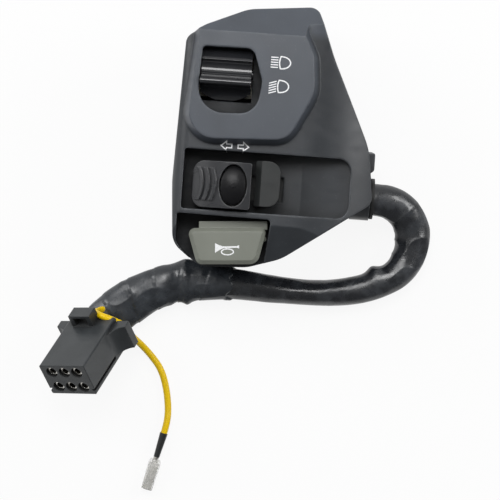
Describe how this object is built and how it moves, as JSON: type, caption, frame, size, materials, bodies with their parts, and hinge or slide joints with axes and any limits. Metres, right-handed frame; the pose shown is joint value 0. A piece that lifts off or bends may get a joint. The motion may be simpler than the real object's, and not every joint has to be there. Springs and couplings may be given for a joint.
{
  "type": "handlebar switch cluster",
  "caption": "Left handlebar switch cluster: split clamp housing with rocking dimmer, sliding turn switch, cancel and horn buttons, and a sleeved harness with a six-way plug.",
  "frame": {"origin": "centre of the bar clamp, on the handlebar's axis, in the plane where the two shells meet", "axes": "+X along the bar towards the middle of the bike, +Y towards the upper edge of the switch face, +Z out of the face that the rider sees"},
  "size_m": [0.1218, 0.1573, 0.051],
  "materials": {
    "housing_plastic": "satin moulded plastic",
    "gloss_black": "glossy moulded plastic",
    "matt_black": "fine matt plastic",
    "inner_plastic": "natural acetal",
    "contact_board": "phenolic board",
    "steel": "zinc plated",
    "brass": "stamped",
    "tinned_brass": "tin plated",
    "rubber": "matt",
    "sleeve_vinyl": "soft glossy vinyl",
    "wire_insulation": "vinyl insulation",
    "yellow_insulation": "vinyl insulation",
    "plug_nylon": "black nylon",
    "grey_plastic": "light grey matt plastic",
    "clear_vinyl": "clear soft vinyl"
  },
  "bodies": {
    "housing": {"rear_housing": "housing_plastic", "front_housing": "housing_plastic", "case_screws": "steel", "plate_screws": "steel", "dimmer_base": "inner_plastic", "dimmer_pin": "steel", "dimmer_leaf": "steel", "dimmer_contact_plate": "contact_board", "dimmer_contacts": "brass", "turn_base_plate": "contact_board", "turn_contacts": "brass", "horn_base_plate": "contact_board", "horn_contacts": "brass", "horn_spring": "steel", "inner_leads": "wire_insulation", "harness_grommet": "rubber", "harness_sleeve": "sleeve_vinyl", "connector_housing": "plug_nylon", "socket_terminals": "tinned_brass", "connector_wires": "wire_insulation", "yellow_wire": "yellow_insulation", "bullet_crimp": "matt_black", "bullet_terminal": "tinned_brass", "bullet_sleeve": "clear_vinyl"},
    "dimmer": {"dimmer_knob": "gloss_black", "dimmer_wiper": "brass"},
    "turn": {"turn_knob": "gloss_black", "turn_lug": "matt_black", "turn_carrier": "inner_plastic", "turn_wiper": "brass", "turn_detent_ball": "steel", "turn_detent_spring": "steel", "cancel_spring": "steel"},
    "cancel": {"cancel_button": "gloss_black", "cancel_clip": "steel"},
    "horn": {"horn_button": "grey_plastic", "horn_bridge": "brass"}
  },
  "joints": [
    {"name": "dimmer_rock", "type": "hinge", "parent": "housing", "child": "dimmer", "pos_m": [-0.01487, 0.0093, 0.0195], "axis": [-1, 0, 0], "range_deg": [0, 30.6]},
    {"name": "turn_slide", "type": "slide", "parent": "housing", "child": "turn", "axis": [1, 0, 0], "range_m": [-0.0027, 0.0027]},
    {"name": "cancel_push", "type": "slide", "parent": "turn", "child": "cancel", "axis": [0, 0, -1], "range_m": [0, 0.0015], "stiffness_N_per_m": 300, "springref_m": -0.003, "deforming": ["cancel_spring"]},
    {"name": "horn_push", "type": "slide", "parent": "housing", "child": "horn", "axis": [0, 0, -1], "range_m": [0, 0.0025], "stiffness_N_per_m": 400, "springref_m": -0.004, "deforming": ["horn_spring"]}
  ]
}
